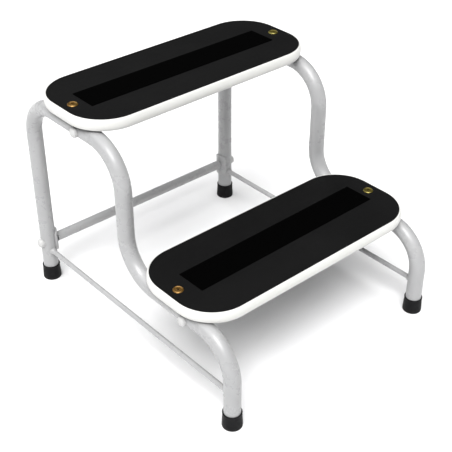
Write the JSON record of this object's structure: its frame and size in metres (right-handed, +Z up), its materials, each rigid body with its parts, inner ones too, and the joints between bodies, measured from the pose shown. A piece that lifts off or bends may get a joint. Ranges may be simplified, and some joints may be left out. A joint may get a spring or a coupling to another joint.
{
  "type": "step stool",
  "caption": "Two-step stool: bent tube side frames, a low rear brace, white-edged black boards with anti-slip strips, brass screws and black rubber feet.",
  "frame": {"origin": "on the floor, midway between the four legs", "axes": "+Z up; +Y the way the user faces when climbing, from the lower step to the upper; +X the user's right"},
  "size_m": [0.436, 0.4958, 0.3744],
  "materials": {
    "frame_paint": "pale grey powder coat, semi-gloss",
    "cap_plastic": "white moulded nylon, satin",
    "edging_plastic": "warm white extruded vinyl, satin",
    "board_laminate": "plywood faced with black laminate, matt",
    "grip_tape": "black mineral-coated anti-slip tape, very rough",
    "screw_brass": "brass plate, slightly dulled",
    "foot_rubber": "black moulded rubber, matt",
    "plated_steel": "zinc plate"
  },
  "bodies": {
    "root": {"front_left_foot": "foot_rubber", "front_right_foot": "foot_rubber", "left_side_frame": "frame_paint", "left_stay_rod": "frame_paint", "lower_board": "board_laminate", "lower_edging": "edging_plastic", "lower_grip_strip": "grip_tape", "lower_left_bolt": "plated_steel", "lower_left_bolt_cap": "cap_plastic", "lower_left_cup_washer": "screw_brass", "lower_left_insert": "plated_steel", "lower_left_rivet_nut": "plated_steel", "lower_left_saddle": "frame_paint", "lower_left_screw": "screw_brass", "lower_right_bolt": "plated_steel", "lower_right_bolt_cap": "cap_plastic", "lower_right_cup_washer": "screw_brass", "lower_right_insert": "plated_steel", "lower_right_rivet_nut": "plated_steel", "lower_right_saddle": "frame_paint", "lower_right_screw": "screw_brass", "lower_spreader_tube": "frame_paint", "rear_brace_tube": "frame_paint", "rear_left_bolt": "plated_steel", "rear_left_bolt_cap": "cap_plastic", "rear_left_foot": "foot_rubber", "rear_left_insert": "plated_steel", "rear_left_saddle": "frame_paint", "rear_right_bolt": "plated_steel", "rear_right_bolt_cap": "cap_plastic", "rear_right_foot": "foot_rubber", "rear_right_insert": "plated_steel", "rear_right_saddle": "frame_paint", "right_side_frame": "frame_paint", "right_stay_rod": "frame_paint", "upper_board": "board_laminate", "upper_edging": "edging_plastic", "upper_grip_strip": "grip_tape", "upper_left_bolt": "plated_steel", "upper_left_bolt_cap": "cap_plastic", "upper_left_cup_washer": "screw_brass", "upper_left_insert": "plated_steel", "upper_left_rivet_nut": "plated_steel", "upper_left_saddle": "frame_paint", "upper_left_screw": "screw_brass", "upper_right_bolt": "plated_steel", "upper_right_bolt_cap": "cap_plastic", "upper_right_cup_washer": "screw_brass", "upper_right_insert": "plated_steel", "upper_right_rivet_nut": "plated_steel", "upper_right_saddle": "frame_paint", "upper_right_screw": "screw_brass", "upper_spreader_tube": "frame_paint"}
  },
  "joints": []
}
